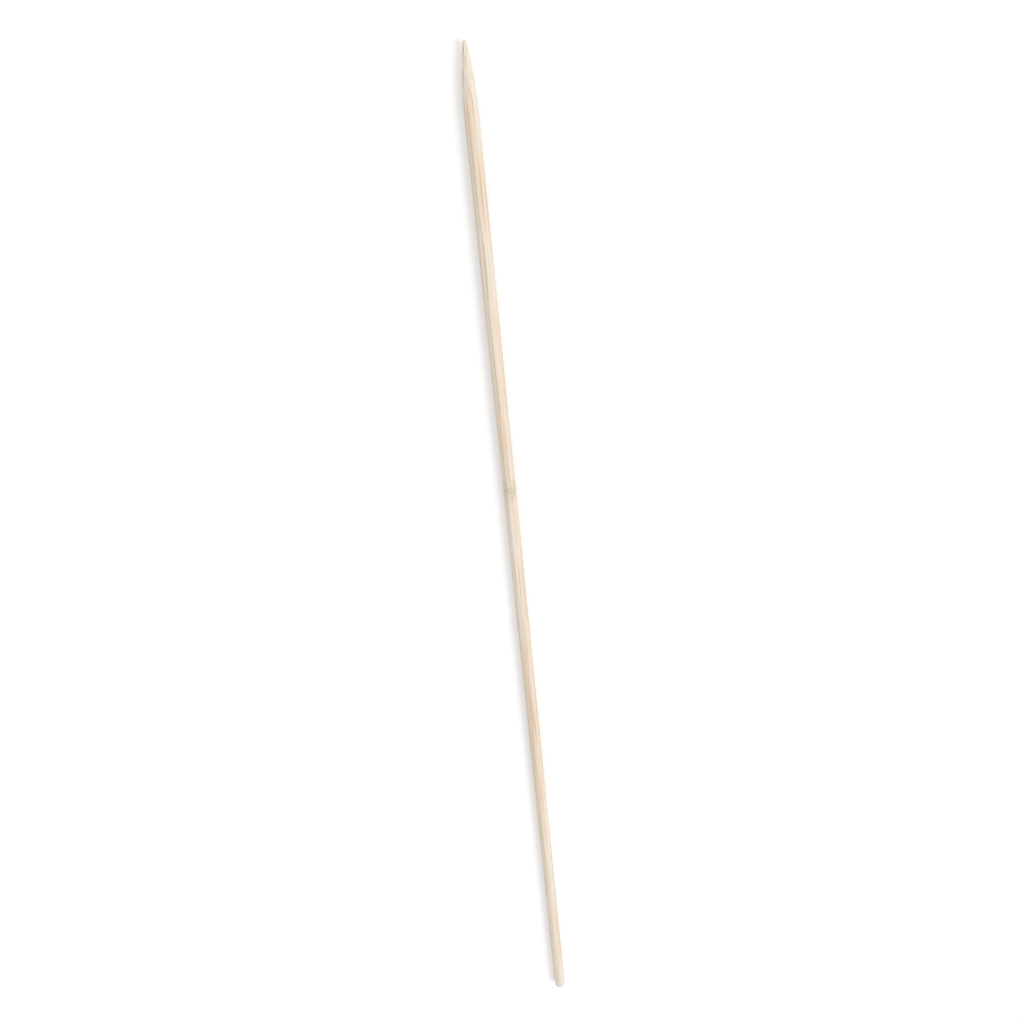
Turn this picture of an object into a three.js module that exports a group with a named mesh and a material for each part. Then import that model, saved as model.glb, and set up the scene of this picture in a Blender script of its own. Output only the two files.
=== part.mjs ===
// Bamboo skewer: one round stick, sawn square at the butt and ground to a point at the other end.
// Millimetres, +Z up. It lies along +X, and the origin is the centre of its sawn end.

import * as THREE from 'three';

// Driving sizes
const totalLength = 300; // 12 inch stick
const shaftDiameter = 2.5;
const pointLength = 15; // ground part, from the full shaft to the tip
const tipDiameter = 0.68; // where the rounding of the tip starts
const tipRounding = 0.3; // length of the rounded nose
const pointFullness = 1.8; // 1 is a plain cone, and more is a bow that runs smoothly into the shaft
const buttRounding = 0.12; // radius of the sawn edge, worn round when the sticks are tumbled clean
const knotPlace = 193; // joint of the bamboo cane, from the sawn end
const knotLength = 5;
const knotSwell = 0.03; // the hard joint stands this much proud, because it is sanded away more slowly

// Smoothness
const sides = 32;
const pointRings = 14;
const noseRings = 4;
const knotRings = 8;
const edgeRings = 4;

const bambooColour = 0xe2cba6;

// The shaft is a little slimmer than the joint, which sets the full diameter
const fullRadius = shaftDiameter / 2;
const shaftRadius = fullRadius - knotSwell;
const tipRadius = tipDiameter / 2;
const noseStart = totalLength - tipRounding;
const pointStart = totalLength - pointLength;

// A profile point is (radius, place along the stick)
function buttEnd() {
  const points = [new THREE.Vector2(0, 0)];
  for (let ring = 0; ring <= edgeRings; ring += 1) {
    const angle = (ring / edgeRings) * (Math.PI / 2);
    const radius = shaftRadius - buttRounding * (1 - Math.sin(angle));
    points.push(new THREE.Vector2(radius, buttRounding * (1 - Math.cos(angle))));
  }
  return points;
}

// One smooth swelling, level with the shaft at both ends
function knot() {
  const points = [];
  for (let ring = 0; ring <= knotRings; ring += 1) {
    const share = ring / knotRings;
    const swell = knotSwell * 0.5 * (1 - Math.cos(2 * Math.PI * share));
    points.push(new THREE.Vector2(shaftRadius + swell, knotPlace + knotLength * (share - 0.5)));
  }
  return points;
}

// The ground flank starts tangent to the shaft and steepens towards the tip
function groundPoint() {
  const points = [];
  for (let ring = 0; ring <= pointRings; ring += 1) {
    const share = ring / pointRings;
    const taken = (shaftRadius - tipRadius) * share ** pointFullness;
    points.push(new THREE.Vector2(shaftRadius - taken, pointStart + (noseStart - pointStart) * share));
  }
  return points;
}

// A quarter of an ellipse closes the tip on the axis
function roundedNose() {
  const points = [];
  for (let ring = 1; ring <= noseRings; ring += 1) {
    const angle = (ring / noseRings) * (Math.PI / 2);
    const radius = ring === noseRings ? 0 : tipRadius * Math.cos(angle);
    points.push(new THREE.Vector2(radius, noseStart + tipRounding * Math.sin(angle)));
  }
  return points;
}

function makeSkewer() {
  const profile = [...buttEnd(), ...knot(), ...groundPoint(), ...roundedNose()];
  const geometry = new THREE.LatheGeometry(profile, sides);
  const bamboo = new THREE.MeshStandardMaterial({ color: bambooColour, roughness: 0.62, metalness: 0 });
  const stick = new THREE.Mesh(geometry, bamboo);
  stick.name = 'skewer';
  stick.rotation.z = -Math.PI / 2; // the lathe turns about Y, and the stick lies along X
  return stick;
}

const bambooSkewer = new THREE.Group();
bambooSkewer.add(makeSkewer());

export default bambooSkewer;
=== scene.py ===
import math

import bmesh
import bpy
from mathutils import Matrix, Vector, noise


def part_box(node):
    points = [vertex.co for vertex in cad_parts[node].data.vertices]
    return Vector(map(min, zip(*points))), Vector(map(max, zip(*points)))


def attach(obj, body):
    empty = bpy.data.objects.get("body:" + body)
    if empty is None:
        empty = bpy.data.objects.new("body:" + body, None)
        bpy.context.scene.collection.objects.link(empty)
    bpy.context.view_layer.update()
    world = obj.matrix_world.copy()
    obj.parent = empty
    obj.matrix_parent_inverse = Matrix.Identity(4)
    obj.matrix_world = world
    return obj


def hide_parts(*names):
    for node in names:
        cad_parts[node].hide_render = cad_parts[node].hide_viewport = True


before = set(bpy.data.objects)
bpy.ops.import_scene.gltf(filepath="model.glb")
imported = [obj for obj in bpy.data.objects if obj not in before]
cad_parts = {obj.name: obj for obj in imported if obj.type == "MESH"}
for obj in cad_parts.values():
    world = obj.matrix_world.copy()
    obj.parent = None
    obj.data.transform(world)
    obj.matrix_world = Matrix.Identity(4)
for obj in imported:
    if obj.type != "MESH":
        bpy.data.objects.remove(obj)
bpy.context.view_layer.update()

mm = 0.001
stickLow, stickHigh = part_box("skewer")
stickLength = stickHigh.x - stickLow.x
fullRadius = (stickHigh.z - stickLow.z) / 2
print("frame loaded, stick", round(stickLength / mm, 1), "mm long")


# Small helpers

def linearColour(hexText):
    values = [int(hexText[i:i + 2], 16) / 255 for i in (1, 3, 5)]
    return [v / 12.92 if v <= 0.04045 else ((v + 0.055) / 1.055) ** 2.4 for v in values] + [1.0]


def addNode(tree, kind, links=None, **settings):
    node = tree.nodes.new(kind)
    for name, value in settings.items():
        setattr(node, name, value)
    for name, value in (links or {}).items():
        if isinstance(value, bpy.types.NodeSocket):
            tree.links.new(value, node.inputs[name])
        else:
            node.inputs[name].default_value = value
    return node


def newMaterial(name):
    material = bpy.data.materials.new(name)
    material.use_nodes = True
    material.node_tree.nodes.clear()
    return material, material.node_tree


def smoothStep(value):
    value = min(max(value, 0.0), 1.0)
    return value * value * (3 - 2 * value)


# Camera: over the pointed end, looking back along the stick, so the point is at the top and nearest

cameraView = {
    "tipDistance": 0.37,  # metres from the lens to the tip
    "tipAngle": 37,  # degrees off square to the stick, at the tip
    "fill": 0.93,  # share of the picture's height that the stick takes
    "lean": 5.8,  # degrees, the point leans to the left
    "sensorWidth": 36,
    "clipStart": 0.01,
}


def makeCamera(view):
    tip = Vector((stickHigh.x, 0, 0))
    angle = math.radians(view["tipAngle"])
    place = tip + view["tipDistance"] * Vector((math.sin(angle), 0, math.cos(angle)))
    buttAngle = math.atan2(place.x - stickLow.x, place.z)
    middle, halfSpan = (angle + buttAngle) / 2, (buttAngle - angle) / 2
    right = Vector((0, -1, 0))
    up = Vector((math.cos(middle), 0, -math.sin(middle)))
    back = right.cross(up)
    turn = Matrix((right, up, back)).transposed() @ Matrix.Rotation(math.radians(-view["lean"]), 3, "Z")
    data = bpy.data.cameras.new("camera")
    data.sensor_width = view["sensorWidth"]
    reach = view["fill"] * math.cos(math.radians(view["lean"])) / math.tan(halfSpan)
    data.lens = view["sensorWidth"] / 2 * reach
    data.clip_start = view["clipStart"]
    camera = bpy.data.objects.new("camera", data)
    camera.matrix_world = Matrix.Translation(place) @ turn.to_4x4()
    bpy.context.collection.objects.link(camera)
    bpy.context.scene.camera = camera


makeCamera(cameraView)
print("camera set")


# Stick: a turned outline, spun round the axis, then worn in by the grain

stick = {
    "pointLength": 15.0,  # sizes are in mm
    "tipWidth": 0.68,
    "tipRounding": 0.3,
    "pointFullness": 1.8,
    "buttRounding": 0.12,
    "knotPlace": 193.0,
    "knotLength": 5.0,
    "knotSwell": 0.03,
    "sides": 72,
    "shaftCuts": 420,  # rings along the plain shaft
    "pointRings": 60,
    "noseRings": 8,
    "knotRings": 36,
    "edgeRings": 6,
    "buttRings": 14,
    "clearance": 0.001,  # how far the skin starts inside the solid's full radius
    "mergeWithin": 0.0002,
    "reliefFrom": 0.3,  # no grooves nearer the axis than this, which keeps the tip whole
    "sawnWithin": 0.001,
    "sawRough": 0.03,  # how deep the sawn face is torn
    "sawTears": 4.5,  # tears to a mm
    "grooveDepth": 0.018,  # where soft tissue was sanded out between fibre bundles
    "grooveWidth": 0.32,
    "grooveRun": 55,
    "grooveShare": 0.6,
    "fineRun": 18,  # the finer grooves are half as wide
    "fineShare": 0.35,
    "outOfRound": 0.02,
    "ovalRun": 70,
    "ovalWidth": 1.6,
    "knotRough": 0.02,
    "pitRun": 0.8,
    "pitWidth": 0.35,
    "seed": 41.7,
}


def outline(size):
    full = fullRadius / mm - size["clearance"]
    shaft = full - size["knotSwell"]
    length = stickLength / mm
    noseStart = length - size["tipRounding"]
    pointStart = length - size["pointLength"]
    tip = size["tipWidth"] / 2
    edge = size["buttRounding"]
    points = [(0, 0)]
    for ring in range(size["edgeRings"] + 1):
        angle = ring / size["edgeRings"] * math.pi / 2
        points.append((shaft - edge * (1 - math.sin(angle)), edge * (1 - math.cos(angle))))
    for ring in range(size["knotRings"] + 1):
        share = ring / size["knotRings"]
        swell = size["knotSwell"] * 0.5 * (1 - math.cos(2 * math.pi * share))
        points.append((shaft + swell, size["knotPlace"] + size["knotLength"] * (share - 0.5)))
    for ring in range(size["pointRings"] + 1):
        share = ring / size["pointRings"]
        taken = (shaft - tip) * share ** size["pointFullness"]
        points.append((shaft - taken, pointStart + (noseStart - pointStart) * share))
    for ring in range(1, size["noseRings"] + 1):
        angle = ring / size["noseRings"] * math.pi / 2
        radius = tip * math.cos(angle) if ring < size["noseRings"] else 0
        points.append((radius, noseStart + size["tipRounding"] * math.sin(angle)))
    return [Vector((place * mm, 0, radius * mm)) for radius, place in points]


def grainDepth(point, size):
    # How deep the skin lies under the turned form here, in metres
    x, y, z = point / mm
    wide, oval, pit = size["grooveWidth"], size["ovalWidth"], size["pitWidth"]
    seed = size["seed"]
    groove = noise.noise(Vector((x / size["grooveRun"], y / wide, z / wide)) + Vector((seed, 0, 0)))
    fine = noise.noise(Vector((x / size["fineRun"], y / wide * 2, z / wide * 2)) + Vector((0, seed, 0)))
    bend = noise.noise(Vector((x / size["ovalRun"], y / oval, z / oval + seed)))
    pits = noise.noise(Vector((x / size["pitRun"], y / pit, z / pit)))
    nearKnot = smoothStep(1 - abs(x - size["knotPlace"]) / size["knotLength"])
    depth = size["grooveDepth"] * (0.5 + size["grooveShare"] * groove + size["fineShare"] * fine)
    depth += size["outOfRound"] * (0.5 + bend)
    depth += nearKnot * size["knotRough"] * (0.5 + pits)
    return max(depth, 0) * mm


def faceOrder(face, vertCount):
    # The spin gives its faces in an order that varies, so they are sorted by their first and last corner
    corners = [vert.index for vert in face.verts]
    return min(corners) * vertCount + max(corners)


def makeStick(size):
    mesh = bmesh.new()
    path = [mesh.verts.new(p) for p in outline(size)]
    edges = [mesh.edges.new(pair) for pair in zip(path, path[1:])]
    butt, longLow = edges[0], edges[1 + size["edgeRings"]]
    longHigh = edges[2 + size["edgeRings"] + size["knotRings"]]
    share = longLow.calc_length() / (longLow.calc_length() + longHigh.calc_length())
    lowCuts = round(size["shaftCuts"] * share)
    bmesh.ops.subdivide_edges(mesh, edges=[longLow], cuts=lowCuts)
    bmesh.ops.subdivide_edges(mesh, edges=[longHigh], cuts=size["shaftCuts"] - lowCuts)
    bmesh.ops.subdivide_edges(mesh, edges=[butt], cuts=size["buttRings"])
    bmesh.ops.spin(mesh, geom=mesh.verts[:] + mesh.edges[:], cent=(0, 0, 0), axis=(1, 0, 0),
                   angle=2 * math.pi, steps=size["sides"], use_merge=True)
    bmesh.ops.remove_doubles(mesh, verts=mesh.verts, dist=size["mergeWithin"] * mm)
    bmesh.ops.recalc_face_normals(mesh, faces=mesh.faces)
    mesh.verts.index_update()
    vertCount = len(mesh.verts)
    mesh.faces.sort(key=lambda face: faceOrder(face, vertCount))
    for vert in mesh.verts:
        radius = math.hypot(vert.co.y, vert.co.z)
        onSaw = vert.co.x < size["sawnWithin"] * mm
        if radius > size["reliefFrom"] * mm:
            depth = grainDepth(vert.co, size)
            vert.co.y *= 1 - depth / radius
            vert.co.z *= 1 - depth / radius
        if onSaw:
            tear = noise.noise(vert.co / mm * size["sawTears"])
            vert.co.x = size["sawRough"] * max(0.5 + tear, 0) * mm
    for face in mesh.faces:
        face.smooth = True
    data = bpy.data.meshes.new("skewerStick")
    mesh.to_mesh(data)
    mesh.free()
    piece = bpy.data.objects.new("skewerStick", data)
    bpy.context.collection.objects.link(piece)
    return piece


skewerStick = makeStick(stick)
print("stick made,", len(skewerStick.data.polygons), "faces")


# Split bamboo, dowelled and sanded bare. Hard tan bundles of fibre run lengthwise through pale pith, each
# with small dark vessels in its middle: lines on the shaft, dashes on the ground point, dots on the sawn end

bamboo = {
    "pith": "#efe4d6",
    "pithWarm": "#ebd9c3",
    "bundle": "#ceac81",
    "vessel": "#8e6843",
    "rindAndWarmBounce": "#d6b284",  # the side that lay nearest the cane's skin, turned to the stick's left edge, where its warm tan is also painted warm bounce light
    "knotTan": "#c8ad86",
    "knotGrey": "#a39a80",
    "knotLine": "#a08560",
    "ground": "#f3e8da",
    "sawn": "#d9bf98",
    # How strongly each is laid over the pith
    # The skin side's tint: real rind colour, and painted warm bounce light on the stick's left edge
    "rindAndBounceShare": 0.45,
    "groundShare": 0.4,
    "sawnShare": 0.5,
    "knotTanShare": 0.18,
    "strandShare": 0.26,
    "knotGreyShare": 0.42,
    "knotLineShare": 0.4,
    "fibreShare": {"shaft": 0.62, "butt": 0.15, "point": -0.22},  # the last two are added on the cuts
    "vesselShare": {"shaft": 0.26, "butt": 0.4, "point": 0.04},
    # Bundles of fibre in the cross section: mm apart, and where the pattern starts
    "openBundles": {"spacing": 0.44, "shift": 0.3},
    "rindBundles": {"spacing": 0.27, "shift": 4.1},  # closer together near the skin
    "bundleEdge": (0.44, 0.26),  # outside and inside of a bundle, in shares of the spacing
    "vesselEdge": (0.18, 0.09),
    "faintest": 0.35,  # tone of the palest bundle
    "scatter": 0.8,
    # Run along the grain and width across it, in mm. A single fibre is about 0.015 mm wide, too fine to show,
    # so fibres are drawn in strands
    "tone": {"run": 30, "width": 0.7, "detail": 1, "shift": 9.3, "low": 0.35, "high": 0.65, "least": 0.35},
    "strand": {"run": 45, "width": 0.13, "detail": 2, "shift": 1.7, "low": 0.45, "high": 0.68, "least": 0},
    "blotch": {"run": 34, "width": 2.2, "detail": 2, "shift": 5.3, "low": 0.36, "high": 0.66, "least": 0},
    "mottle": {"run": 0.5, "width": 0.17, "detail": 2, "shift": 7.9, "low": 0.48, "high": 0.62, "least": 0},
    # Mm that the grain wanders sideways, each way: slowly all along, and in a swirl at the joint
    "drift": {"reach": 0.3, "run": 42, "width": 2.5, "detail": 1, "shift": 0},
    "swirl": {"reach": 0.28, "run": 1.9, "width": 0.9, "detail": 1, "shift": 3.1},
    "wanderSpan": 0.25,  # how far that noise reaches from its middle
    "noiseRoughness": 0.55,
    "lineWave": {"reach": 2.2, "run": 60, "width": 0.8, "detail": 2, "shift": 2.6},
    "lineOffset": 0.6,
    "lineEdge": (0.26, 0.05),
    "skinSideAndWarmEdge": (0, 0.8, -0.6),  # to the lower left, where the warm skin side also paints warm bounce light along the stick's left edge
    "skinEdge": (0.25, 1.15),
    "knotFade": 0.85,  # the joint's marks fade out this share of its length from its middle
    "knotCore": 0.8,
    "pointEdge": (1.5, 6.0),  # from where the ground part starts
    "buttEdge": (0.15, 0.04),
    "roughness": 0.58,
    "pithRougher": 0.07,
    "bundleSmoother": 0.06,
    "rise": {"fibre": 0.6, "vessel": -0.9, "strand": -0.35, "mottle": -0.8},
    "bumpHeight": 0.012,
    "bumpStrength": 0.8,
    "ior": 1.5,
    "specular": 0.35,
}


def makeBamboo(look, size):
    material, tree = newMaterial("sandedBamboo")
    place = addNode(tree, "ShaderNodeTexCoord").outputs["Object"]
    along = addNode(tree, "ShaderNodeSeparateXYZ", {"Vector": place}).outputs["X"]

    def grainNoise(vector, pattern):
        # Noise drawn out along the stick
        across = 1 / (pattern["width"] * mm)
        turned = addNode(tree, "ShaderNodeMapping", {
            "Vector": vector, "Location": (pattern["shift"], pattern["shift"] * 0.7, 0),
            "Scale": (1 / (pattern["run"] * mm), across, across)})
        return addNode(tree, "ShaderNodeTexNoise", {
            "Vector": turned.outputs["Vector"], "Scale": 1.0, "Detail": pattern["detail"],
            "Roughness": look["noiseRoughness"]}).outputs

    # Where on the stick: at the joint of the cane, on the ground point, on the sawn end
    pointStart = stickLength - size["pointLength"] * mm
    offKnot = addNode(tree, "ShaderNodeMath", {0: along, 1: size["knotPlace"] * mm}, operation="SUBTRACT")
    fromKnot = addNode(tree, "ShaderNodeMath", {0: offKnot.outputs[0]}, operation="ABSOLUTE").outputs[0]
    knotEdge = (size["knotLength"] * look["knotFade"], look["knotCore"])
    zones = {}
    for name, value, start, edges in (("knot", fromKnot, 0, knotEdge),
                                      ("point", along, pointStart, look["pointEdge"]),
                                      ("butt", along, 0, look["buttEdge"])):
        low, high = [start + edge * mm for edge in edges]
        zones[name] = addNode(tree, "ShaderNodeMapRange", {"Value": value, "From Min": low, "From Max": high},
                              interpolation_type="SMOOTHSTEP").outputs["Result"]

    # The grain drifts slowly, and swirls at the joint
    grain = place
    for name, strength in (("drift", 1.0), ("swirl", zones["knot"])):
        wander = grainNoise(place, look[name])["Color"]
        wander = addNode(tree, "ShaderNodeVectorMath", {0: wander, 1: (0.5, 0.5, 0.5)}, operation="SUBTRACT")
        wander = addNode(tree, "ShaderNodeVectorMath", {0: wander.outputs[0], "Scale": strength},
                         operation="SCALE")
        reach = look[name]["reach"] / look["wanderSpan"] * mm
        grain = addNode(tree, "ShaderNodeVectorMath", {0: wander.outputs[0], 1: (0, reach, reach), 2: grain},
                        operation="MULTIPLY_ADD").outputs[0]

    # The skin side, turned to the stick's left edge: real rind colour there, and painted warm bounce light as
    # well
    skinDepth = addNode(tree, "ShaderNodeVectorMath", {0: grain, 1: look["skinSideAndWarmEdge"]},
                        operation="DOT_PRODUCT").outputs["Value"]
    outer, inner = [edge * mm for edge in look["skinEdge"]]
    nearSkinAndWarmEdge = addNode(tree, "ShaderNodeMapRange", {"Value": skinDepth, "From Min": outer, "From Max": inner},
                       interpolation_type="SMOOTHSTEP").outputs["Result"]

    # Cells in the cross section alone, so each bundle runs on along the stick, with a vessel in its middle
    section = addNode(tree, "ShaderNodeSeparateXYZ", {"Vector": grain})
    section = addNode(tree, "ShaderNodeCombineXYZ", {"X": section.outputs["Y"], "Y": section.outputs["Z"]})
    fibre, vessel = 0.0, 0.0
    for name, here in (("openBundles", 1.0), ("rindBundles", nearSkinAndWarmEdge)):
        scale = 1 / (look[name]["spacing"] * mm)
        scaled = addNode(tree, "ShaderNodeMapping", {
            "Vector": section.outputs[0], "Location": (look[name]["shift"], 0, 0),
            "Scale": (scale, scale, 1)})
        cells = addNode(tree, "ShaderNodeTexVoronoi", {
            "Vector": scaled.outputs[0], "Scale": 1.0, "Randomness": look["scatter"]},
            voronoi_dimensions="2D")
        drawn = addNode(tree, "ShaderNodeSeparateXYZ", {"Vector": cells.outputs["Color"]}).outputs["X"]
        drawn = addNode(tree, "ShaderNodeMapRange", {"Value": drawn, "To Min": look["faintest"]},
                        interpolation_type="SMOOTHSTEP").outputs["Result"]
        found = []
        for edges in (look["bundleEdge"], look["vesselEdge"]):
            part = addNode(tree, "ShaderNodeMapRange", {
                "Value": cells.outputs["Distance"], "From Min": edges[0], "From Max": edges[1]},
                interpolation_type="SMOOTHSTEP").outputs["Result"]
            found.append(addNode(tree, "ShaderNodeMath", {0: part, 1: here}, operation="MULTIPLY").outputs[0])
        found[0] = addNode(tree, "ShaderNodeMath", {0: found[0], 1: drawn}, operation="MULTIPLY").outputs[0]
        fibre = addNode(tree, "ShaderNodeMath", {0: fibre, 1: found[0]}, operation="MAXIMUM").outputs[0]
        vessel = addNode(tree, "ShaderNodeMath", {0: vessel, 1: found[1]}, operation="MAXIMUM").outputs[0]

    # Tone of the bundles, strands of fibre, broad blotches, and the joint's mottling
    marks = {}
    for name, over in (("tone", place), ("strand", grain), ("blotch", place), ("mottle", grain)):
        pattern = look[name]
        marks[name] = addNode(tree, "ShaderNodeMapRange", {
            "Value": grainNoise(over, pattern)["Fac"], "From Min": pattern["low"],
            "From Max": pattern["high"], "To Min": pattern["least"]},
            interpolation_type="SMOOTHSTEP").outputs["Result"]
    fibre = addNode(tree, "ShaderNodeMath", {0: fibre, 1: marks["tone"]}, operation="MULTIPLY").outputs[0]
    mottle = addNode(tree, "ShaderNodeMath", {0: marks["mottle"], 1: zones["knot"]},
                     operation="MULTIPLY").outputs[0]

    # A wavy line across the joint, broken where the mottling is thin
    wave = addNode(tree, "ShaderNodeMath", {
        0: grainNoise(place, look["lineWave"])["Fac"], 1: look["lineWave"]["reach"] * mm, 2: along},
        operation="MULTIPLY_ADD")
    offLine = addNode(tree, "ShaderNodeMath", {
        0: wave.outputs[0], 1: (size["knotPlace"] + look["lineOffset"]) * mm}, operation="SUBTRACT")
    fromLine = addNode(tree, "ShaderNodeMath", {0: offLine.outputs[0]}, operation="ABSOLUTE")
    outer, inner = [edge * mm for edge in look["lineEdge"]]
    line = addNode(tree, "ShaderNodeMapRange", {
        "Value": fromLine.outputs[0], "From Min": outer, "From Max": inner}, interpolation_type="SMOOTHSTEP")
    broken = addNode(tree, "ShaderNodeMapRange", {
        "Value": mottle, "From Max": 0.5, "To Min": look["faintest"]}, interpolation_type="SMOOTHSTEP")
    knotLine = addNode(tree, "ShaderNodeMath", {0: line.outputs["Result"], 1: broken.outputs["Result"]},
                       operation="MULTIPLY").outputs[0]

    # Bundles and vessels are darkest on the saw cut, and the bundles are paler on the ground point
    shares = {}
    for name in ("fibreShare", "vesselShare"):
        share = look[name]["shaft"]
        for zone in ("butt", "point"):
            share = addNode(tree, "ShaderNodeMath", {0: zones[zone], 1: look[name][zone], 2: share},
                            operation="MULTIPLY_ADD").outputs[0]
        shares[name] = share

    # Colours laid over each other, from the pith up. A Mix node takes colours at 6 and 7 and gives one at 2
    colour = linearColour(look["pith"])
    for mask, share, name in (
            (marks["blotch"], 1.0, "pithWarm"),
            # rind colour on the skin side, which is also painted warm bounce light along the left edge
            (nearSkinAndWarmEdge, look["rindAndBounceShare"], "rindAndWarmBounce"),
            (zones["point"], look["groundShare"], "ground"),
            (zones["butt"], look["sawnShare"], "sawn"),
            (zones["knot"], look["knotTanShare"], "knotTan"),
            (marks["strand"], look["strandShare"], "bundle"),
            (fibre, shares["fibreShare"], "bundle"),
            (mottle, look["knotGreyShare"], "knotGrey"),
            (knotLine, look["knotLineShare"], "knotLine"),
            (vessel, shares["vesselShare"], "vessel")):
        strength = addNode(tree, "ShaderNodeMath", {0: mask, 1: share}, operation="MULTIPLY").outputs[0]
        colour = addNode(tree, "ShaderNodeMix", {0: strength, 6: colour, 7: linearColour(look[name])},
                         data_type="RGBA").outputs[2]

    # Hard bundles stand proud of the sanded pith, and the cut vessels are open
    height = 0.0
    for name, mask in (("fibre", fibre), ("vessel", vessel), ("strand", marks["strand"]), ("mottle", mottle)):
        height = addNode(tree, "ShaderNodeMath", {0: mask, 1: look["rise"][name], 2: height},
                         operation="MULTIPLY_ADD").outputs[0]
    bump = addNode(tree, "ShaderNodeBump", {
        "Height": height, "Distance": look["bumpHeight"] * mm, "Strength": look["bumpStrength"]})
    rough = addNode(tree, "ShaderNodeMapRange", {
        "Value": fibre, "To Min": look["roughness"] + look["pithRougher"],
        "To Max": look["roughness"] - look["bundleSmoother"]}, interpolation_type="SMOOTHSTEP")
    shader = addNode(tree, "ShaderNodeBsdfPrincipled", {
        "Base Color": colour, "Roughness": rough.outputs["Result"], "Normal": bump.outputs["Normal"],
        "IOR": look["ior"], "Specular IOR Level": look["specular"]})
    addNode(tree, "ShaderNodeOutputMaterial", {"Surface": shader.outputs["BSDF"]})
    return material


skewerStick.data.materials.append(makeBamboo(bamboo, stick))
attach(skewerStick, "root")
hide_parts("skewer")
print("bamboo applied")


# Studio: a pale floor under the stick, an even pale sky and one soft lamp from the picture's right

studio = {
    "floorSize": 40,  # metres
    "floorColour": "#e6e6e6",
    "floorLift": 0.25,  # glow added to the paper where it is seen, so that it shows white
    "skyLevel": 0.76,
    "lampLevel": 1.05,
    "lampSpread": 28,  # degrees across, for soft shadow edges
    "lampFrom": (0.25, -0.62, 0.75),
}


def seenDirectly(tree):
    # 1 for what the camera sees, directly, in a gloss or through something clear
    path = addNode(tree, "ShaderNodeLightPath")
    seen = path.outputs["Is Camera Ray"]
    for ray in ("Is Glossy Ray", "Is Transmission Ray"):
        seen = addNode(tree, "ShaderNodeMath", {0: seen, 1: path.outputs[ray]},
                       operation="MAXIMUM").outputs[0]
    return seen


def makeStudio(look):
    mesh = bmesh.new()
    bmesh.ops.create_grid(mesh, x_segments=1, y_segments=1, size=look["floorSize"] / 2)
    bmesh.ops.translate(mesh, verts=mesh.verts, vec=(stickLength / 2, 0, stickLow.z))
    data = bpy.data.meshes.new("floor")
    mesh.to_mesh(data)
    mesh.free()
    floor = bpy.data.objects.new("floor", data)
    bpy.context.collection.objects.link(floor)

    # Matt background paper, which takes a soft shadow and has no shine
    material, tree = newMaterial("mattPaper")
    paper = addNode(tree, "ShaderNodeBsdfDiffuse", {"Color": linearColour(look["floorColour"])})
    lift = addNode(tree, "ShaderNodeMath", {0: seenDirectly(tree), 1: look["floorLift"]},
                   operation="MULTIPLY")
    glow = addNode(tree, "ShaderNodeEmission", {"Color": (1, 1, 1, 1), "Strength": lift.outputs[0]})
    both = addNode(tree, "ShaderNodeAddShader", {0: paper.outputs[0], 1: glow.outputs[0]})
    addNode(tree, "ShaderNodeOutputMaterial", {"Surface": both.outputs[0]})
    floor.data.materials.append(material)

    world = bpy.data.worlds.new("studioSky")
    world.use_nodes = True
    tree = world.node_tree
    tree.nodes.clear()
    level = addNode(tree, "ShaderNodeMapRange", {"Value": seenDirectly(tree), "To Min": look["skyLevel"]})
    sky = addNode(tree, "ShaderNodeBackground", {"Color": (1, 1, 1, 1), "Strength": level.outputs["Result"]})
    addNode(tree, "ShaderNodeOutputWorld", {"Surface": sky.outputs[0]})
    bpy.context.scene.world = world

    lampData = bpy.data.lights.new("softLamp", "SUN")
    lampData.energy = look["lampLevel"]
    lampData.angle = math.radians(look["lampSpread"])
    lamp = bpy.data.objects.new("softLamp", lampData)
    lamp.rotation_mode = "QUATERNION"
    lamp.rotation_quaternion = Vector(look["lampFrom"]).to_track_quat("Z", "Y")
    bpy.context.collection.objects.link(lamp)


makeStudio(studio)
bpy.context.scene.view_settings.view_transform = "Standard"
print("studio lit")
